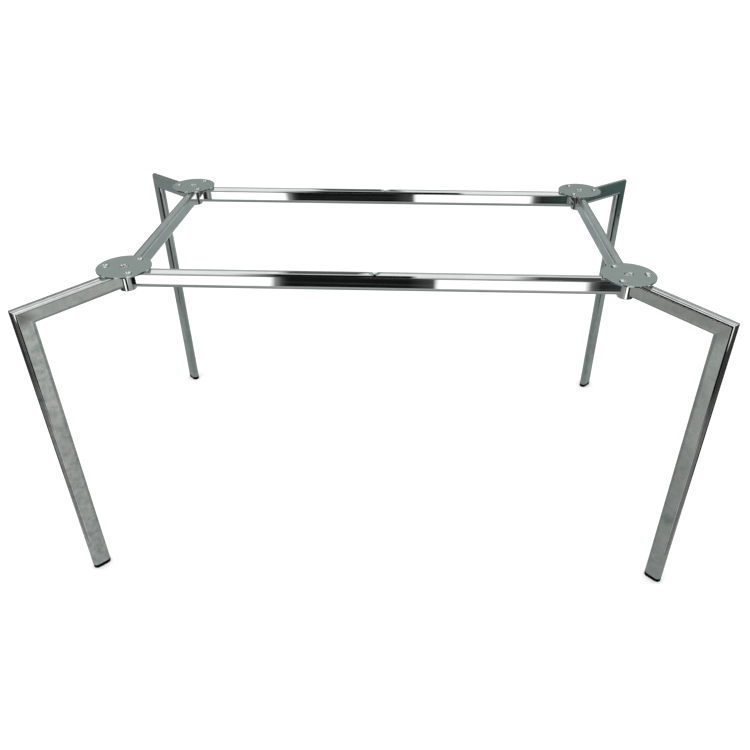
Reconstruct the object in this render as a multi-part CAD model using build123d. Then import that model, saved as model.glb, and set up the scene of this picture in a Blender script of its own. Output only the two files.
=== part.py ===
from build123d import *
import os
from math import atan2, cos, degrees, radians, sin, tan

# Conference table frame: two long and two short rails between four round posts.
# Each post carries a disc for the table top and an arm that runs out to a leg.
# Millimetres, +Z up, +X along the long rails, origin on the floor under the middle.

# Overall sizes
frame_height = 720.0          # floor to the top of the discs
post_spacing_x = 1030.0       # between post axes along the long rails
post_spacing_y = 520.0        # between post axes along the short rails

# Flat-sided oval tube for rails, arms and legs, set on edge
tube_height = 40.0
tube_width = 20.0             # the narrow sides are half round
tube_wall = 2.0
rail_top_gap = 1.0            # between the rails and the discs above them

# Corner posts
post_diameter = 34.0
post_below_rails = 5.0
post_edge_round = 1.5

# Discs under the table top
disc_diameter = 110.0
disc_thickness = 4.0
disc_edge_round = 0.6
disc_hole_circle = 80.0
disc_hole_count = 3
disc_hole_diameter = 7.0
disc_sink_diameter = 18.0
disc_sink_angle = 120.0
disc_centre_sink_diameter = 20.0

# Screw that holds a disc to its post
screw_diameter = 8.0
screw_length = 24.0           # below the head
screw_head_diameter = 16.0
screw_head_angle = 90.0
screw_dome_height = 1.5
screw_seat_clearance = 0.05
screw_tip_room = 4.0          # below the screw in its tapped hole
thread_clearance = 0.1        # on the radius
recess_span = 8.5
recess_slot = 2.2
recess_depth = 3.0

# Arms and legs
arm_plan_angle = 45.0         # from the long rails
arm_fall_angle = 4.0
arm_reach = 232.0             # from the post axis to the leg's outer face

# Feet
foot_height = 10.0            # what shows under the tube
foot_edge_round = 1.5
foot_stem_length = 22.0
foot_stem_clearance = 0.6     # between the stem and the inside of the tube
foot_stem_wall = 2.5
foot_rib_clearance = 0.1
foot_rib_height = 2.0
foot_rib_count = 3

# Dished screw hole at the middle of each long rail
rail_hole_diameter = 7.0
rail_dish_diameter = 30.0
rail_dish_depth = 6.0

# Places worked out from the sizes above
disc_underside = frame_height - disc_thickness
rail_top = disc_underside - rail_top_gap
rail_axis_height = rail_top - tube_height / 2
post_bottom = rail_top - tube_height - post_below_rails
post_radius = post_diameter / 2
inside_height = tube_height - 2 * tube_wall
inside_width = tube_width - 2 * tube_wall
head_depth = (screw_head_diameter - screw_diameter) / 2 / tan(radians(screw_head_angle / 2))
head_rim_depth = (disc_centre_sink_diameter - screw_head_diameter) / 2 / tan(radians(screw_head_angle / 2))
head_rim_height = frame_height - head_rim_depth
leg_offset = arm_reach - tube_height / 2
fall = radians(arm_fall_angle)
arm_axis_height = disc_underside - tube_height / 2 / cos(fall)
joint_height = arm_axis_height - leg_offset * tan(fall)

corners = {
    "front_left": (-1, -1),
    "front_right": (1, -1),
    "rear_left": (-1, 1),
    "rear_right": (1, 1),
}


def post_place(corner):
    side_x, side_y = corners[corner]
    return Pos(side_x * post_spacing_x / 2, side_y * post_spacing_y / 2, 0)


def arm_turn(corner):
    """Plan direction of a corner's arm, in degrees from +X."""
    side_x, side_y = corners[corner]
    angle = radians(arm_plan_angle)
    return degrees(atan2(side_y * sin(angle), side_x * cos(angle)))


def tube_outside():
    """Outline of the tube, its width along X and its height along Y."""
    return SlotOverall(tube_height, tube_width, rotation=90)


def inside_outline(clearance):
    """Outline of the tube's hollow, smaller all round by a clearance."""
    return SlotOverall(inside_height - 2 * clearance, inside_width - 2 * clearance, rotation=90)


def tube_section():
    return tube_outside() - inside_outline(0)


def tube_along_x(length):
    """Straight tube on edge along the X axis, from the origin."""
    return extrude(Plane.YZ * tube_section(), length)


def post_cutter():
    """Solid round of a post's diameter, for the saddles of the tubes that meet it."""
    return Cylinder(post_radius, 2 * frame_height)


def dished_hole(rail_length):
    """Dish and hole at mid-span, as what is added under the top wall and what is cut away."""
    rim = rail_dish_diameter / 2
    floor = rail_hole_diameter / 2
    middle = Pos(rail_length / 2, 0, 0)
    place = middle * Pos(0, 0, tube_height / 2)
    bowl = Polygon((0, 0), (rim, 0), (floor, -rail_dish_depth), (0, -rail_dish_depth), align=None)
    added = place * Pos(0, 0, -tube_wall) * revolve(Plane.XZ * bowl, Axis.Z)
    added &= extrude(Plane.YZ * inside_outline(-tube_wall / 2), rail_length)
    drill = middle * Cylinder(floor, 2 * tube_height)
    cut = place * revolve(Plane.XZ * bowl, Axis.Z) + drill
    return added, cut


def rail(length, with_hole):
    """Rail along X between two posts that stand at its ends, axis on the X axis."""
    body = tube_along_x(length)
    if with_hole:
        added, cut = dished_hole(length)
        body = body + added - cut
    return body - post_cutter() - Pos(length, 0, 0) * post_cutter()


def long_rail(side_y):
    place = Pos(-post_spacing_x / 2, side_y * post_spacing_y / 2, rail_axis_height)
    return place * rail(post_spacing_x, True)


def short_rail(side_x):
    place = Pos(side_x * post_spacing_x / 2, -post_spacing_y / 2, rail_axis_height)
    return place * Rot(0, 0, 90) * rail(post_spacing_y, False)


def post(corner):
    body = Pos(0, 0, post_bottom) * Cylinder(
        post_radius, disc_underside - post_bottom, align=(Align.CENTER, Align.CENTER, Align.MIN)
    )
    body = fillet(body.edges().sort_by(Axis.Z)[0], post_edge_round)
    return post_place(corner) * (body - screw_space())


def screw_head_cone(clearance):
    """Cone under the screw's head, grown by a clearance on the radius."""
    profile = Polygon(
        (0, head_rim_height),
        (screw_head_diameter / 2 + clearance, head_rim_height),
        (screw_diameter / 2 + clearance, head_rim_height - head_depth),
        (0, head_rim_height - head_depth),
        align=None,
    )
    return revolve(Plane.XZ * profile, Axis.Z)


def screw_space():
    """Tapped hole and the sunk seat that a disc screw takes up."""
    depth = screw_length + screw_tip_room
    hole = Pos(0, 0, head_rim_height) * Cylinder(
        screw_diameter / 2 + thread_clearance, depth, align=(Align.CENTER, Align.CENTER, Align.MAX)
    )
    return hole + screw_head_cone(screw_seat_clearance)


def sunk_hole(diameter, sink_diameter, sink_angle):
    """Through hole in a disc with a sunk rim at the top face, on the Z axis."""
    sink_depth = (sink_diameter - diameter) / 2 / tan(radians(sink_angle / 2))
    hole = Pos(0, 0, disc_underside) * Cylinder(diameter / 2, 2 * disc_thickness)
    sink = Polygon((0, 0), (sink_diameter / 2, 0), (diameter / 2, -sink_depth), (0, -sink_depth), align=None)
    return hole + Pos(0, 0, frame_height) * revolve(Plane.XZ * sink, Axis.Z)


def top_disc(corner):
    body = Pos(0, 0, disc_underside) * Cylinder(
        disc_diameter / 2, disc_thickness, align=(Align.CENTER, Align.CENTER, Align.MIN)
    )
    body = fillet(body.edges().filter_by(GeomType.CIRCLE), disc_edge_round)
    centre_sink = Polygon(
        (0, frame_height),
        (disc_centre_sink_diameter / 2 + screw_seat_clearance, frame_height),
        (screw_head_diameter / 2 + screw_seat_clearance, head_rim_height),
        (0, head_rim_height),
        align=None,
    )
    body -= revolve(Plane.XZ * centre_sink, Axis.Z) + screw_space()
    # One hole points outwards along X, and the others lie between the tubes
    first = 0 if corners[corner][0] > 0 else 180
    hole = Pos(disc_hole_circle / 2, 0, 0) * sunk_hole(disc_hole_diameter, disc_sink_diameter, disc_sink_angle)
    for index in range(disc_hole_count):
        body -= Rot(0, 0, first + index * 360 / disc_hole_count) * hole
    return post_place(corner) * body


def disc_screw(corner):
    dome_radius = ((screw_head_diameter / 2) ** 2 + screw_dome_height**2) / 2 / screw_dome_height
    dome = Pos(0, 0, head_rim_height + screw_dome_height - dome_radius) * Sphere(dome_radius)
    dome &= Pos(0, 0, head_rim_height) * Cylinder(
        screw_head_diameter / 2, 2 * screw_dome_height, align=(Align.CENTER, Align.CENTER, Align.MIN)
    )
    shank = Pos(0, 0, head_rim_height) * Cylinder(
        screw_diameter / 2, screw_length, align=(Align.CENTER, Align.CENTER, Align.MAX)
    )
    body = dome + screw_head_cone(0) + shank
    head_top = head_rim_height + screw_dome_height
    for turn in (0, 90):
        slot = Box(recess_span, recess_slot, recess_depth, align=(Align.CENTER, Align.CENTER, Align.MAX))
        body -= Pos(0, 0, head_top) * Rot(0, 0, turn) * slot
    return post_place(corner) * body


def mitre_plane():
    """Plane that halves the bend between an arm and its leg, in the arm's own upright plane."""
    return Plane(
        origin=(leg_offset, 0, joint_height),
        x_dir=(0, 1, 0),
        z_dir=(cos(fall), 0, -sin(fall) - 1),
    )


def arm(corner):
    straight = tube_along_x(arm_reach + tube_height)
    body = Pos(0, 0, arm_axis_height) * Rot(0, arm_fall_angle, 0) * straight
    body = split(body, bisect_by=mitre_plane(), keep=Keep.BOTTOM) - post_cutter()
    return post_place(corner) * Rot(0, 0, arm_turn(corner)) * body


def leg(corner):
    upright = extrude(tube_section(), joint_height + tube_height)
    straight = Pos(leg_offset, 0, foot_height) * Rot(0, 0, 90) * upright
    body = split(straight, bisect_by=mitre_plane(), keep=Keep.TOP)
    return post_place(corner) * Rot(0, 0, arm_turn(corner)) * body


def foot(corner):
    hollow = inside_outline(foot_stem_clearance + foot_stem_wall)
    flange = extrude(tube_outside(), foot_height)
    flange = fillet(flange.edges().group_by(Axis.Z)[0], foot_edge_round)
    stem = extrude(inside_outline(foot_stem_clearance) - hollow, foot_stem_length)
    body = flange + Pos(0, 0, foot_height) * stem
    rib_step = foot_stem_length / (foot_rib_count + 1)
    for index in range(foot_rib_count):
        height = foot_height + (index + 1) * rib_step - foot_rib_height / 2
        body += Pos(0, 0, height) * extrude(inside_outline(foot_rib_clearance) - hollow, foot_rib_height)
    turned = Rot(0, 0, arm_turn(corner)) * Pos(leg_offset, 0, 0) * Rot(0, 0, 90) * body
    return post_place(corner) * turned


pieces = {
    "rail_front": long_rail(-1),
    "rail_rear": long_rail(1),
    "rail_left": short_rail(-1),
    "rail_right": short_rail(1),
}
for corner in corners:
    pieces["post_" + corner] = post(corner)
    pieces["top_disc_" + corner] = top_disc(corner)
    pieces["disc_screw_" + corner] = disc_screw(corner)
    pieces["arm_" + corner] = arm(corner)
    pieces["leg_" + corner] = leg(corner)
    pieces["foot_" + corner] = foot(corner)

os.makedirs("parts", exist_ok=True)
for name, piece in pieces.items():
    export_step(piece, os.path.join("parts", name + ".step"))
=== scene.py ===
import bpy
from math import cos, pi, radians
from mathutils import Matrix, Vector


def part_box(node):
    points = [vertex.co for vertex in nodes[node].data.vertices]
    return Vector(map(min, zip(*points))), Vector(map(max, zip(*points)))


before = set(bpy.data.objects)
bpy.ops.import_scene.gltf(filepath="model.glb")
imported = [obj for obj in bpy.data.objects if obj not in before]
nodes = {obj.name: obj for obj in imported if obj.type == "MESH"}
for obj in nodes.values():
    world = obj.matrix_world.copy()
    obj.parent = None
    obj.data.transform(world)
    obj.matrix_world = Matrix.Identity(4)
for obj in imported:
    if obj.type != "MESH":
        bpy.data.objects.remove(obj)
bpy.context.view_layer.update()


def middle(node):
    """Middle of a piece's box."""
    low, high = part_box(node)
    return (low + high) / 2


# Sizes that the finishes line up with, in metres and degrees
arm_plan_angle = 45.0
arm_fall = 4.0
post_x, post_y = middle("post_rear_right").xy
rail_axis = middle("rail_rear").z
half_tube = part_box("rail_rear")[1].z - rail_axis
disc_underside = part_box("top_disc_rear_right")[0].z
arm_axis_at_post = disc_underside - half_tube / cos(radians(arm_fall))
leg_offset = (middle("foot_rear_right").x - post_x) / cos(radians(arm_plan_angle))


# Small helpers for node trees
def add_node(tree, kind, label, **settings):
    node = tree.nodes.new(kind)
    node.label = label
    for key, value in settings.items():
        setattr(node, key, value)
    return node


def join(tree, output, socket):
    tree.links.new(output, socket)


def feed(tree, value, socket):
    """Puts a number, a colour or another node's output into a socket."""
    if isinstance(value, (int, float)):
        socket.default_value = value
    elif isinstance(value, tuple):
        socket.default_value = (*value, 1.0) if socket.type == "RGBA" else value
    else:
        join(tree, value, socket)


def calculate(tree, operation, label, *values):
    """Math node whose inputs are numbers or sockets."""
    node = add_node(tree, "ShaderNodeMath", label, operation=operation)
    for index, value in enumerate(values):
        feed(tree, value, node.inputs[index])
    return node.outputs[0]


def split_place(tree, place, label):
    parts = add_node(tree, "ShaderNodeSeparateXYZ", label)
    join(tree, place, parts.inputs[0])
    return parts.outputs


def spread(tree, value, low, high, label):
    """Share of the way from low to high, held at 0 and 1."""
    node = add_node(tree, "ShaderNodeMapRange", label)
    node.inputs["From Min"].default_value = low
    node.inputs["From Max"].default_value = high
    join(tree, value, node.inputs["Value"])
    return node.outputs["Result"]


def ramp(tree, value, label, stops):
    """Colours along a value, from (value, colour) pairs in rising order."""
    low, high = stops[0][0], stops[-1][0]
    node = add_node(tree, "ShaderNodeValToRGB", label)
    band = node.color_ramp.elements
    while len(band) < len(stops):
        band.new(0.5)
    for element, (at, colour) in zip(band, stops):
        element.position = (at - low) / (high - low)
        element.color = (*colour, 1.0) if isinstance(colour, tuple) else (colour, colour, colour, 1.0)
    join(tree, spread(tree, value, low, high, label + " share"), node.inputs["Fac"])
    return node.outputs["Color"]


def blend(tree, factor, first, second, label, mode="MIX"):
    node = add_node(tree, "ShaderNodeMix", label, data_type="RGBA", blend_type=mode)
    for index, value in ((0, factor), (6, first), (7, second)):
        feed(tree, value, node.inputs[index])
    return node.outputs[2]


def lay(tree, ground, colour, label, *masks):
    """Lays a colour over another one where all the masks meet."""
    share = masks[0]
    for mask in masks[1:]:
        share = calculate(tree, "MULTIPLY", label + " share", share, mask)
    return blend(tree, share, ground, colour, label)


def noise(tree, place, label, scale, detail, roughness=0.5):
    node = add_node(tree, "ShaderNodeTexNoise", label)
    node.inputs["Detail"].default_value = detail
    node.inputs["Roughness"].default_value = roughness
    join(tree, place, node.inputs["Vector"])
    feed(tree, scale, node.inputs["Scale"])
    return node.outputs["Fac"]


def surface(tree, height, strength, distance, label):
    """Bump from a height, as a normal."""
    bump = add_node(tree, "ShaderNodeBump", label)
    bump.inputs["Strength"].default_value = strength
    bump.inputs["Distance"].default_value = distance
    join(tree, height, bump.inputs["Height"])
    return bump.outputs["Normal"]


def new_group(name, inputs, outputs):
    """Empty shader group with its sockets; each input is (name, kind, value)."""
    tree = bpy.data.node_groups.new(name, "ShaderNodeTree")
    for socket_name, kind, value in inputs:
        socket = tree.interface.new_socket(socket_name, in_out="INPUT", socket_type=kind)
        if value is not None:
            socket.default_value = value
    for socket_name, kind in outputs:
        tree.interface.new_socket(socket_name, in_out="OUTPUT", socket_type=kind)
    return tree, tree.nodes.new("NodeGroupInput").outputs, tree.nodes.new("NodeGroupOutput").inputs


def use_group(tree, group, label, **values):
    node = add_node(tree, "ShaderNodeGroup", label, node_tree=group)
    for key, value in values.items():
        feed(tree, value, node.inputs[key.replace("_", " ")])
    return node.outputs


# Shared effects
def make_drawn_lines():
    """Faint lines that the drawing die and the polishing belt leave along a tube."""
    tree, given, out = new_group(
        "drawn_lines",
        [
            ("Place", "NodeSocketVector", None),
            ("Across", "NodeSocketFloat", 260.0),
            ("Along", "NodeSocketFloat", 1.6),
        ],
        [("Height", "NodeSocketFloat")],
    )
    along, across, height = split_place(tree, given["Place"], "tube directions")
    place = add_node(tree, "ShaderNodeCombineXYZ", "stretched place")
    join(tree, calculate(tree, "MULTIPLY", "stretched along", along, given["Along"]), place.inputs[0])
    join(tree, calculate(tree, "MULTIPLY", "fine across", across, given["Across"]), place.inputs[1])
    join(tree, calculate(tree, "MULTIPLY", "fine in height", height, given["Across"]), place.inputs[2])
    join(tree, noise(tree, place.outputs[0], "lines", scale=1.0, detail=2.5, roughness=0.55), out["Height"])
    return tree


bare_cells = 0.86             # share of the cells that hold no speck
largest_speck = 0.34          # its radius, as a share of a cell


def make_handling_marks():
    """Cloudy wipes, water marks and small dull specks left by use."""
    tree, given, out = new_group(
        "handling_marks",
        [
            ("Place", "NodeSocketVector", None),
            ("Cloud size", "NodeSocketFloat", 22.0),
            ("Speck size", "NodeSocketFloat", 130.0),
        ],
        [("Clouds", "NodeSocketFloat"), ("Specks", "NodeSocketFloat")],
    )
    cloud = noise(tree, given["Place"], "wiped clouds", given["Cloud size"], detail=5.0, roughness=0.68)
    soft = spread(tree, cloud, 0.40, 0.66, "cloud edges")
    join(tree, soft, out["Clouds"])
    cells = add_node(tree, "ShaderNodeTexVoronoi", "speck cells", feature="F1")
    join(tree, given["Place"], cells.inputs["Vector"])
    join(tree, given["Speck size"], cells.inputs["Scale"])
    chosen = add_node(tree, "ShaderNodeSeparateColor", "speck choice")
    join(tree, cells.outputs["Color"], chosen.inputs[0])
    few = calculate(tree, "GREATER_THAN", "few cells", chosen.outputs[0], bare_cells)
    size = calculate(tree, "MULTIPLY", "speck radius", chosen.outputs[1], largest_speck)
    inside = calculate(tree, "LESS_THAN", "inside the speck", cells.outputs["Distance"], size)
    # Specks gather where the clouds are
    specks = calculate(tree, "MULTIPLY", "specks", few, inside)
    join(tree, calculate(tree, "MULTIPLY", "specks in clouds", specks, soft), out["Specks"])
    return tree


raggedness = 0.9              # of a darker spot's edge, as a share of its size


def make_darker_spot():
    """One darker spot at a given place, ragged at its edge."""
    tree, given, out = new_group(
        "darker_spot",
        [
            ("Place", "NodeSocketVector", None),
            ("Centre", "NodeSocketVector", (0, 0, 0)),
            ("Size", "NodeSocketFloat", 0.01),
        ],
        [("Mark", "NodeSocketFloat")],
    )
    ragged = noise(tree, given["Place"], "ragged edge", scale=160.0, detail=3.0)
    gap = add_node(tree, "ShaderNodeVectorMath", "from the centre", operation="DISTANCE")
    join(tree, given["Place"], gap.inputs[0])
    join(tree, given["Centre"], gap.inputs[1])
    reach = calculate(tree, "DIVIDE", "share of the size", gap.outputs["Value"], given["Size"])
    torn = calculate(tree, "MULTIPLY_ADD", "torn", ragged, raggedness, reach)
    join(tree, spread(tree, torn, 1.45, 0.75, "fades out"), out["Mark"])
    return tree


drawn_lines = make_drawn_lines()
handling_marks = make_handling_marks()
darker_spot = make_darker_spot()


# Finishes of the frame
def new_finish(name):
    finish = bpy.data.materials.new(name)
    finish.use_nodes = True
    tree = finish.node_tree
    place = add_node(tree, "ShaderNodeTexCoord", "place on the frame").outputs["Object"]
    return finish, tree, tree.nodes["Principled BSDF"].inputs, place


def fold_to_corner(tree, place, along_x, along_y):
    """Place measured from the nearest post, so that one finish lines up with all four corners."""
    folded = add_node(tree, "ShaderNodeVectorMath", "folded to one corner", operation="ABSOLUTE")
    join(tree, place, folded.inputs[0])
    moved = add_node(tree, "ShaderNodeVectorMath", "from the post", operation="SUBTRACT")
    join(tree, folded.outputs[0], moved.inputs[0])
    moved.inputs[1].default_value = (along_x, along_y, rail_axis)
    return moved.outputs[0]


def turn_place(tree, place, turn, shift):
    node = add_node(tree, "ShaderNodeMapping", "along the tube", vector_type="POINT")
    node.inputs["Rotation"].default_value = tuple(radians(angle) for angle in turn)
    node.inputs["Location"].default_value = shift
    join(tree, place, node.inputs["Vector"])
    return node.outputs["Vector"]


def lean_sides(tree, normal, flat_lean, round_lean):
    """Turns the faces of a long rail a little, as a rail that isn't quite straight."""
    face = add_node(tree, "ShaderNodeNewGeometry", "face").outputs["Normal"]
    across = calculate(tree, "ABSOLUTE", "how upright", split_place(tree, face, "face directions")[1])
    flat = spread(tree, across, 0.985, 0.999, "flat sides")
    push = add_node(tree, "ShaderNodeCombineXYZ", "push along the rail")
    lean = calculate(tree, "MULTIPLY_ADD", "lean", flat, flat_lean - round_lean, round_lean)
    join(tree, lean, push.inputs[0])
    added = add_node(tree, "ShaderNodeVectorMath", "leaning", operation="ADD")
    join(tree, normal, added.inputs[0])
    join(tree, push.outputs[0], added.inputs[1])
    unit = add_node(tree, "ShaderNodeVectorMath", "unit length", operation="NORMALIZE")
    join(tree, added.outputs[0], unit.inputs[0])
    return unit.outputs[0]


# Chrome colours
bright = (0.80, 0.82, 0.815)
# The next two are one chrome in two tones for the legs: painted lighter on the front left leg (painted
# light), painted darker on the other legs (painted shade)
painted_lighter = (0.97, 0.99, 0.98)
painted_darker = (0.71, 0.735, 0.72)
clouded = (0.58, 0.61, 0.60)
speck = (0.30, 0.33, 0.32)
dark_spot_colour = (0.22, 0.24, 0.23)
speck_haze = 0.4              # roughness that a speck adds at full strength


def chrome_tube(name, tube_place, lines, rough, haze, cloudy, specked,
                lean=None, marks=(), clear=bright, cloud_size=22.0):
    """Bright chrome on drawn tube, whose tube_place gives the place as along, across and height.

    lines is the depth of the drawn lines in metres, rough the roughness of clean chrome and haze what clouds
    add to it; cloudy and specked are strengths.
    """
    finish, tree, shader, place = new_finish(name)
    height = use_group(tree, drawn_lines, "drawn lines", Place=tube_place(tree, place))["Height"]
    wear = use_group(tree, handling_marks, "handling marks", Place=place, Cloud_size=cloud_size)
    clouds, specks = wear["Clouds"], wear["Specks"]
    colour = lay(tree, clear, clouded, "dulled by clouds", clouds, cloudy)
    colour = lay(tree, colour, speck, "specks", specks, specked)
    # Each given spot darkens the chrome's colour towards a dark grey
    for centre, size, dark in marks:
        mark = use_group(tree, darker_spot, "darker_spot", Place=place, Centre=centre, Size=size)["Mark"]
        colour = lay(tree, colour, dark_spot_colour, "darkened spot", mark, dark)
    join(tree, colour, shader["Base Color"])
    dull = calculate(tree, "MULTIPLY_ADD", "haze of the clouds", clouds, haze, rough)
    spotted = calculate(tree, "MULTIPLY", "haze of the specks", specks, speck_haze * specked)
    join(tree, calculate(tree, "ADD", "all haze", dull, spotted), shader["Roughness"])
    shader["Metallic"].default_value = 1.0
    normal = surface(tree, height, 1.0, lines, "drawn surface")
    join(tree, lean_sides(tree, normal, *lean) if lean else normal, shader["Normal"])
    return finish


# Darker spots on the legs: place and size in metres, and strength
leg_dark_spots = (
    ((0.655, -0.417, 0.195), 0.020, 0.42),
    ((0.650, -0.405, 0.235), 0.012, 0.22),
    ((0.672, 0.400, 0.600), 0.008, 0.70),
    ((0.672, 0.400, 0.560), 0.006, 0.40),
    ((-0.668, -0.420, 0.110), 0.007, 0.30),
    ((-0.660, -0.415, 0.055), 0.008, 0.30),
)


def long_rail_place(tree, place):
    return fold_to_corner(tree, place, 0.0, post_y)


def short_rail_place(tree, place):
    return turn_place(tree, fold_to_corner(tree, place, post_x, 0.0), (0, 0, -90), (0, 0, 0))


def arm_place(tree, place):
    corner = fold_to_corner(tree, place, post_x, post_y)
    level = turn_place(tree, corner, (0, 0, -arm_plan_angle), (0, 0, rail_axis - arm_axis_at_post))
    return turn_place(tree, level, (0, -arm_fall, 0), (0, 0, 0))


def leg_place(tree, place):
    corner = fold_to_corner(tree, place, post_x, post_y)
    level = turn_place(tree, corner, (0, 0, -arm_plan_angle), (-leg_offset, 0, 0))
    return turn_place(tree, level, (0, 90, 0), (0, 0, 0))


def chrome_post():
    finish, tree, shader, place = new_finish("chrome_post")
    wear = use_group(tree, handling_marks, "handling marks", Place=place, Cloud_size=30.0)
    cloudy, haze, rough = 0.4, 0.05, 0.03
    join(tree, lay(tree, bright, clouded, "dulled by clouds", wear["Clouds"], cloudy), shader["Base Color"])
    join(tree, calculate(tree, "MULTIPLY_ADD", "haze", wear["Clouds"], haze, rough), shader["Roughness"])
    shader["Metallic"].default_value = 1.0
    return finish


disc_plate = (0.66, 0.71, 0.70)
disc_scuffed = (0.57, 0.61, 0.60)
disc_speck = (0.38, 0.41, 0.40)


def satin_disc():
    """Plated disc with the fine even grain of its sheet and a few scuffs."""
    finish, tree, shader, place = new_finish("satin_disc")
    scuffed, specked, haze, rough, grain_haze = 0.35, 0.3, 0.04, 0.09, 0.03
    grain = noise(tree, place, "sheet grain", scale=700.0, detail=2.0)
    wear = use_group(tree, handling_marks, "scuffs", Place=place, Cloud_size=40.0, Speck_size=260.0)
    colour = lay(tree, disc_plate, disc_scuffed, "scuffed plate", wear["Clouds"], scuffed)
    join(tree, lay(tree, colour, disc_speck, "specks", wear["Specks"], specked), shader["Base Color"])
    dull = calculate(tree, "MULTIPLY_ADD", "haze", wear["Clouds"], haze, rough)
    join(tree, calculate(tree, "MULTIPLY_ADD", "grain haze", grain, grain_haze, dull), shader["Roughness"])
    shader["Metallic"].default_value = 1.0
    join(tree, surface(tree, grain, 0.10, 0.0002, "sheet surface"), shader["Normal"])
    return finish


zinc_tones = [(0.3, (0.80, 0.82, 0.81)), (0.7, (0.92, 0.93, 0.92))]


def zinc_screw():
    finish, tree, shader, place = new_finish("zinc_screw")
    grain = noise(tree, place, "plating grain", scale=1500.0, detail=3.0)
    grain_haze, rough = 0.15, 0.2
    join(tree, ramp(tree, grain, "plating", zinc_tones), shader["Base Color"])
    join(tree, calculate(tree, "MULTIPLY_ADD", "plating haze", grain, grain_haze, rough), shader["Roughness"])
    shader["Metallic"].default_value = 1.0
    join(tree, surface(tree, grain, 0.2, 0.0002, "plating surface"), shader["Normal"])
    return finish


foot_black = (0.0025, 0.0025, 0.0025)
foot_rubbed = (0.010, 0.010, 0.0095)
rubbed_height = 0.0008


def moulded_foot():
    """Black moulded plastic, greyed a little where it rubs on the floor."""
    finish, tree, shader, place = new_finish("moulded_foot")
    grain = noise(tree, place, "mould grain", scale=1200.0, detail=4.0)
    height = split_place(tree, place, "height above the floor")[2]
    worn = spread(tree, height, rubbed_height, 0.0, "worn near the floor")
    grain_haze, rough = 0.2, 0.45
    join(tree, lay(tree, foot_black, foot_rubbed, "rubbed plastic", worn, grain), shader["Base Color"])
    join(tree, calculate(tree, "MULTIPLY_ADD", "grain haze", grain, grain_haze, rough), shader["Roughness"])
    shader["Specular IOR Level"].default_value = 0.02
    join(tree, surface(tree, grain, 0.3, 0.0003, "mould surface"), shader["Normal"])
    return finish


polished_rail = {"lines": 4e-6, "rough": 0.012, "haze": 0.02, "cloudy": 0.2, "specked": 0.0}
handled_rail = {"lines": 1e-5, "rough": 0.06, "haze": 0.06, "cloudy": 0.4, "specked": 0.3}
bright_arm = {"lines": 3e-6, "rough": 0.012, "haze": 0.025, "cloudy": 0.6, "specked": 0.3, "cloud_size": 60.0}
worn_leg = {
    "lines": 5e-6, "rough": 0.03, "haze": 0.05, "specked": 0.4, "cloud_size": 65.0,
    "marks": leg_dark_spots,
}

# How far the long rails lean along their length: flat sides, round sides
front_rail_lean = (-0.0175, 0.012)
rear_rail_lean = (0.0127, -0.02)

# Finish of each piece, under the first of these that its name starts with
finishes = {
    "rail_front": chrome_tube("chrome_front_rail", long_rail_place, lean=front_rail_lean, **polished_rail),
    "rail_rear": chrome_tube("chrome_rear_rail", long_rail_place, lean=rear_rail_lean, **polished_rail),
    "rail": chrome_tube("chrome_short_rail", short_rail_place, **handled_rail),
    "arm": chrome_tube("chrome_arm", arm_place, **bright_arm),
    # The front left leg gets the chrome painted lighter and the other legs get it painted darker: painted
    # light and shade
    "leg_front_left": chrome_tube("chrome_painted_lighter_leg", leg_place, cloudy=0.85, clear=painted_lighter, **worn_leg),
    "leg": chrome_tube("chrome_leg", leg_place, cloudy=0.9, clear=painted_darker, **worn_leg),
    "post": chrome_post(),
    "top_disc": satin_disc(),
    "disc_screw": zinc_screw(),
    "foot": moulded_foot(),
}

for name, piece in nodes.items():
    piece.data.materials.clear()
    key = next(key for key in finishes if name.startswith(key))
    piece.data.materials.append(finishes[key])

# Studio: a pale floor that looks like a room's floor in the chrome
bpy.ops.object.select_all(action="DESELECT")


def glowing(name):
    """Material that only glows, with the place in the studio that it is seen at."""
    material = bpy.data.materials.new(name)
    material.use_nodes = True
    tree = material.node_tree
    tree.nodes.clear()
    output = add_node(tree, "ShaderNodeOutputMaterial", "out").inputs["Surface"]
    glow = add_node(tree, "ShaderNodeEmission", "glow")
    join(tree, glow.outputs[0], output)
    place = add_node(tree, "ShaderNodeNewGeometry", "place in the studio").outputs["Position"]
    return material, tree, glow, output, place


# Far floor in front, by the angle that the long rails see it at: side, colour
white, grey, dark, green = 1.4, 0.35, 0.008, (0.03, 0.052, 0.048)
strip_colours = [
    (-0.50, white), (-0.211, white), (-0.204, 0.3), (-0.194, 0.04), (-0.185, dark),
    (-0.022, dark), (0.009, 0.06), (0.0135, 0.14), (0.0168, white),
    (0.212, white), (0.2225, 0.12), (0.235, 0.02), (0.27, green), (0.50, green), (0.60, 0.45),
]
far_colours = [
    (-0.60, 0.02), (-0.50, 0.02), (-0.45, grey), (-0.22, grey), (-0.195, dark), (0.0135, dark),
    (0.0168, grey), (0.222, grey), (0.235, 0.02), (0.50, 0.02), (0.60, 0.45),
]
# Pale streaks across the strip: place from front to back, glow
streaks = [
    (-1.79, 0.0), (-1.783, 0.0), (-1.777, 0.05), (-1.771, 0.0), (-1.751, 0.0), (-1.745, 0.05), (-1.739, 0.0),
    (-1.695, 0.0), (-1.689, 0.05), (-1.683, 0.0), (-1.66, 0.0),
]
# The strip of floor starts and ends over these places, and its sides fan out from a point behind the frame
strip_start = (-1.62, -1.645)
strip_end = (-1.84, -1.87)
side_origin = (0.0797, 1.5)

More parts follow.
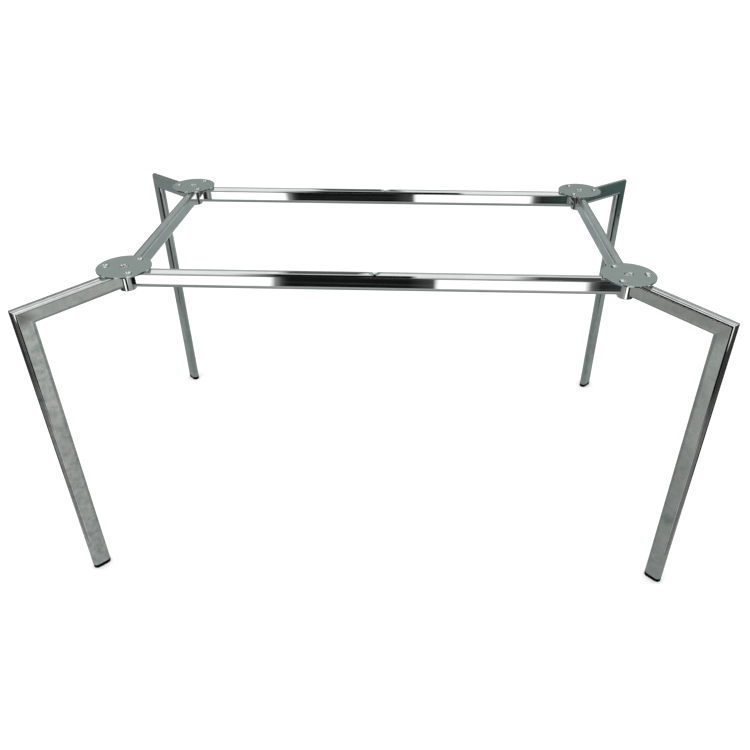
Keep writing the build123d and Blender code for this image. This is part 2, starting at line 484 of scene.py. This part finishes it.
# Near floor: place in metres, colour or share
floor_tones = [
    (-1.2, (0.42, 0.44, 0.422)), (-0.85, (0.42, 0.44, 0.422)), (-0.62, (0.325, 0.342, 0.33)),
    (-0.36, (0.285, 0.31, 0.297)), (1.6, (0.30, 0.342, 0.34)),
]
mottle_tones = [(0.3, 0.86), (0.7, 1.12)]
shade_aside = [
    (-2.8, 0.72), (-1.57, 0.8), (-1.0, 1.0), (1.5, 1.0), (2.1, 0.85), (2.42, (0.26, 0.34, 0.32)),
    (2.8, (0.22, 0.31, 0.29)),
]
far_aside = [(2.9, 0.0), (3.4, 1.0), (5.0, 1.0), (5.6, 0.3)]
far_behind = [(2.35, 0.0), (2.6, 1.0), (3.3, 1.0), (3.5, 0.0)]
either_side_of_back = [(0.28, 0.0), (0.40, 0.6), (0.85, 0.6), (1.0, 0.0)]
close_behind = [(0.65, 0.0), (0.80, 1.0), (1.30, 1.0), (1.45, 0.0)]
pale_far, pale_close = (0.90, 0.92, 0.92), (0.80, 0.82, 0.81)
black, corner_dark = (0, 0, 0), (0.02, 0.022, 0.021)
shade_under_frame, shade_at_left = 0.2, 0.32
spot_place, spot_shade = (0.53, -1.24, 0.0), 0.6


def near_floor(tree, place, across, back):
    """Soft grey-green floor as the legs and arms show it, lighter towards the front."""
    soft = ramp(tree, back, "front to back", floor_tones)
    mottle = ramp(tree, noise(tree, place, "cloudy", scale=3.0, detail=4.0), "mottle", mottle_tones)
    soft = blend(tree, 1.0, soft, mottle, "mottled floor", "MULTIPLY")
    soft = blend(tree, 1.0, soft, ramp(tree, across, "darker aside", shade_aside), "shaded aside", "MULTIPLY")
    either_side = calculate(tree, "ABSOLUTE", "to either side", across)
    depth = calculate(tree, "ABSOLUTE", "to front or back", back)
    soft = lay(tree, soft, pale_far, "pale beside the frame",
               ramp(tree, either_side, "far aside", far_aside),
               spread(tree, depth, 0.95, 0.75, "beside"))
    soft = lay(tree, soft, pale_far, "pale far behind",
               ramp(tree, back, "far behind", far_behind),
               spread(tree, either_side, 1.9, 1.5, "behind"))
    soft = lay(tree, soft, pale_close, "pale close behind",
               ramp(tree, either_side, "either side of the back", either_side_of_back),
               ramp(tree, back, "close behind", close_behind))
    soft = lay(tree, soft, black, "shade under the frame",
               spread(tree, either_side, 0.85, 0.65, "between the legs"),
               spread(tree, depth, 0.42, 0.30, "between front and back"),
               shade_under_frame)
    soft = lay(tree, soft, black, "shade at the left",
               spread(tree, across, -0.40, -0.55, "to the left"),
               spread(tree, back, -0.55, -0.72, "to the front"),
               shade_at_left)
    gap = add_node(tree, "ShaderNodeVectorMath", "from the dark spot", operation="DISTANCE")
    join(tree, place, gap.inputs[0])
    gap.inputs[1].default_value = spot_place
    soft = lay(tree, soft, black, "dark spot",
               spread(tree, gap.outputs["Value"], 0.10, 0.04, "spot"),
               spot_shade)
    # The outer sides of the front legs show the front corners
    return lay(tree, soft, corner_dark, "dark front corners",
               spread(tree, either_side, 0.92, 1.12, "far out"),
               spread(tree, back, 0.25, -0.05, "front half"))


def floor_material():
    """Pale paint to the eye; what the chrome sees of it is a room's floor."""
    material, tree, glow, output, place = glowing("pale_floor")
    across, back, _ = split_place(tree, place, "studio directions")
    paint = add_node(tree, "ShaderNodeBsdfDiffuse", "pale paint")
    paint.inputs["Color"].default_value = (0.92, 0.92, 0.92, 1.0)
    near = near_floor(tree, place, across, back)
    off = calculate(tree, "SUBTRACT", "off the middle line", across, side_origin[0])
    away = calculate(tree, "SUBTRACT", "away", side_origin[1], back)
    side = calculate(tree, "DIVIDE", "side", off, away)
    strip = ramp(tree, side, "strip of floor", strip_colours)
    strip = blend(tree, 1.0, strip, ramp(tree, back, "streaks", streaks), "streaked strip", "ADD")
    far = ramp(tree, side, "far floor", far_colours)
    front = blend(tree, spread(tree, back, *strip_end, "beyond the strip"), strip, far, "floor in front")
    seen = blend(tree, spread(tree, back, *strip_start, "in front"), near, front, "floor in the chrome")
    join(tree, seen, glow.inputs["Color"])
    mix = add_node(tree, "ShaderNodeMixShader", "paint or reflection")
    join(tree, add_node(tree, "ShaderNodeLightPath", "who looks").outputs["Is Glossy Ray"], mix.inputs[0])
    join(tree, paint.outputs[0], mix.inputs[1])
    join(tree, glow.outputs[0], mix.inputs[2])
    join(tree, mix.outputs[0], output)
    return material


# Stripes on the cards in front of the front legs: place along X, glow or share
left_stripes = [
    (-0.95, 0.03), (-0.715, 0.03), (-0.708, 0.14), (-0.688, 0.14), (-0.684, 0.012), (-0.672, 0.012),
    (-0.668, 0.16), (-0.650, 0.16), (-0.645, 0.006), (-0.60, 0.006),
]
right_stripes = [
    (0.60, 0.006), (0.665, 0.006), (0.669, 0.13), (0.679, 0.13), (0.683, 0.008), (0.70, 0.008),
    (0.706, 0.08), (0.722, 0.08), (0.727, 0.012), (0.75, 0.06), (0.95, 0.03),
]
left_low = [(-0.95, 0.20), (-0.655, 0.20), (-0.648, 0.55), (-0.636, 0.55), (-0.628, 0.26), (-0.60, 0.26)]
right_low = [(-at, glow) for at, glow in reversed(left_low)]
left_tip = [(-0.675, 0.0), (-0.668, 1.0), (-0.645, 1.0), (-0.64, 0.0)]
right_tip = [(0.656, 0.0), (0.664, 1.0), (0.682, 1.0), (0.687, 0.0)]
left_tip_heights = (0.640, 0.652)
right_tip_heights = (0.600, 0.635)

# Heights that the stripes fade in over, and distances that a card turns clear over
fade_heights = (0.34, 0.50)
clear_distances = (0.6, 0.7)
tip_white = (1.4, 1.4, 1.4)


def striped_card(name, stripes, low_stripes, tip, tip_heights):
    """Dark upright stripes with a white tip, grey with a pale line low down, and clear to what is far off."""
    material, tree, glow, output, place = glowing(name)
    across, _, height = split_place(tree, place, "studio directions")
    low_part = ramp(tree, across, "low stripes", low_stripes)
    high_part = ramp(tree, across, "stripes", stripes)
    colour = blend(tree, spread(tree, height, *fade_heights, "high up"), low_part, high_part, "fade")
    colour = lay(tree, colour, tip_white, "white tip",
                 spread(tree, height, *tip_heights, "near the top"),
                 ramp(tree, across, "tip", tip))
    join(tree, colour, glow.inputs["Color"])
    distance = add_node(tree, "ShaderNodeLightPath", "who looks").outputs["Ray Length"]
    clear = add_node(tree, "ShaderNodeBsdfTransparent", "clear from afar")
    mix = add_node(tree, "ShaderNodeMixShader", "card or clear")
    join(tree, spread(tree, distance, *clear_distances, "far off"), mix.inputs[0])
    join(tree, glow.outputs[0], mix.inputs[1])
    join(tree, clear.outputs[0], mix.inputs[2])
    join(tree, mix.outputs[0], output)
    return material


def stage_plane(name, size, place, turn, material):
    angles = tuple(radians(angle) for angle in turn)
    bpy.ops.mesh.primitive_plane_add(size=1.0, location=place, rotation=angles)
    plane = bpy.context.object
    plane.name = name
    plane.scale = (size[0], size[1], 1.0)
    plane.data.materials.append(material)
    plane.select_set(False)
    return plane


card_size = (0.35, 0.66)
card_front, card_middle = -0.50, 0.35


def stage_card(name, middle_x, material):
    """Upright card in front of a front leg that only the chrome sees."""
    card = stage_plane(name, card_size, (middle_x, card_front, card_middle), (90, 0, 0), material)
    card.visible_camera = False
    card.visible_diffuse = False
    card.visible_shadow = False


stage_plane("studio_floor", (60, 60), (0, 0, 0), (0, 0, 0), floor_material())
left_card = striped_card("left_stripes", left_stripes, left_low, left_tip, left_tip_heights)
right_card = striped_card("right_stripes", right_stripes, right_low, right_tip, right_tip_heights)
stage_card("card_left", -0.78, left_card)
stage_card("card_right", 0.775, right_card)

# Light: an even pale sky, and a room in the chrome
# Ceiling from behind over the top to the front: share of the half turn, glow
ceiling_over_rails = [
    (0.0, 0.85), (0.265, 0.85), (0.28, 0.06), (0.355, 0.06), (0.37, 0.95),
    (0.8, 0.95), (0.9, 0.9), (0.925, 0.4), (1.0, 0.4),
]
ceiling_over_arms = [
    (0.0, 0.85), (0.265, 0.85), (0.28, 0.03), (0.355, 0.03), (0.37, 1.05), (0.535, 1.05), (0.55, 0.015),
    (0.625, 0.015), (0.64, 1.15), (0.725, 1.15), (0.74, 0.006), (1.0, 0.006),
]
# From left to right: sideways part of the direction, share or colour
left_band = [(-0.175, 0.0), (-0.155, 1.0), (-0.06, 1.0), (-0.045, 0.0)]
right_band = [(0.16, 0.0), (0.20, 1.0), (0.34, 1.0), (0.36, 0.0)]
dark_middle = [(-0.235, 0.0), (-0.17, 1.0), (0.02, 1.0), (0.03, 0.0)]
wall_tones = [
    (-0.7, (0.24, 0.268, 0.26)), (-0.60, (0.24, 0.268, 0.26)), (-0.54, (0.10, 0.112, 0.108)),
    (-0.48, (0.10, 0.112, 0.108)), (-0.43, (0.37, 0.412, 0.392)), (0.47, (0.37, 0.412, 0.392)),
    (0.53, (0.08, 0.145, 0.125)), (0.7, (0.075, 0.14, 0.12)),
]
wall_rise = [(0.28, 0.85), (0.38, 1.0)]
left_band_grey, right_band_grey = (0.10, 0.10, 0.105), (0.07, 0.075, 0.075)
front_pale, front_dark = (0.75, 0.77, 0.77), (0.008, 0.008, 0.008)


def room_colour(sky):
    """What the chrome sees above the floor: a wall behind, a pale banded ceiling and a dark front."""
    direction = add_node(sky, "ShaderNodeTexCoord", "direction").outputs["Generated"]
    aside, behind, rise = split_place(sky, direction, "directions")
    turn = calculate(sky, "ARCTAN2", "from behind over the top", rise, behind)
    over = calculate(sky, "DIVIDE", "share of the half turn", turn, pi)
    middle_part = ramp(sky, over, "ceiling over the rails", ceiling_over_rails)
    sides = ramp(sky, over, "ceiling over the arms", ceiling_over_arms)
    sides = lay(sky, sides, front_pale, "pale front right",
                spread(sky, aside, 0.40, 0.48, "to the right"),
                spread(sky, over, 0.72, 0.75, "low at the front"))
    either_side = calculate(sky, "ABSOLUTE", "to either side", aside)
    ceiling = blend(sky, spread(sky, either_side, 0.42, 0.52, "sideways"), middle_part, sides, "ceiling")
    ceiling = lay(sky, ceiling, left_band_grey, "left band behind",
                  ramp(sky, aside, "left band", left_band), spread(sky, over, 0.66, 0.62, "behind"))
    ceiling = lay(sky, ceiling, right_band_grey, "right band in front",
                  ramp(sky, aside, "right band", right_band), spread(sky, over, 0.50, 0.56, "in front"))
    ceiling = lay(sky, ceiling, front_dark, "dark middle in front",
                  ramp(sky, aside, "dark middle", dark_middle), spread(sky, over, 0.72, 0.75, "low in front"))
    wall = ramp(sky, aside, "wall behind", wall_tones)
    wall = blend(sky, 1.0, wall, ramp(sky, rise, "dimmer low down", wall_rise), "dimmed", "MULTIPLY")
    return lay(sky, ceiling, wall, "room",
               spread(sky, rise, 0.60, 0.56, "below the ceiling"),
               spread(sky, behind, -0.02, 0.06, "to the back"))


world = bpy.data.worlds.new("studio")
bpy.context.scene.world = world
world.use_nodes = True
sky = world.node_tree
sky.nodes.clear()
even = add_node(sky, "ShaderNodeBackground", "even light")
even.inputs["Color"].default_value = (1.0, 1.0, 1.0, 1.0)
even.inputs["Strength"].default_value = 1.2
room = add_node(sky, "ShaderNodeBackground", "room in the chrome")
join(sky, room_colour(sky), room.inputs["Color"])
mix = add_node(sky, "ShaderNodeMixShader", "even or room")
join(sky, add_node(sky, "ShaderNodeLightPath", "who looks").outputs["Is Glossy Ray"], mix.inputs[0])
join(sky, even.outputs[0], mix.inputs[1])
join(sky, room.outputs[0], mix.inputs[2])
join(sky, mix.outputs[0], add_node(sky, "ShaderNodeOutputWorld", "out").inputs["Surface"])

bpy.ops.object.light_add(type="AREA", location=(-0.4, -0.6, 3.2), rotation=(0, 0, 0))
softbox = bpy.context.object
softbox.name = "softbox"
softbox.data.shape = "RECTANGLE"
softbox.data.size = 2.6
softbox.data.size_y = 1.6
softbox.data.energy = 18.0
softbox.visible_glossy = False
bpy.context.scene.view_settings.view_transform = "Standard"

# Camera at the photograph's angle
camera_place = (0.0797, -1.5516, 1.3173)
camera_turn = tuple(radians(angle) for angle in (57.180, -0.2565, 1.5965))
bpy.ops.object.camera_add(location=camera_place, rotation=camera_turn)
camera = bpy.context.object
camera.name = "camera"
camera.data.sensor_width = 36.0
camera.data.lens = 33.257
camera.data.shift_x = -0.0298
camera.data.shift_y = -0.0094
camera.data.clip_start = 0.05
camera.data.clip_end = 100.0
bpy.context.scene.camera = camera
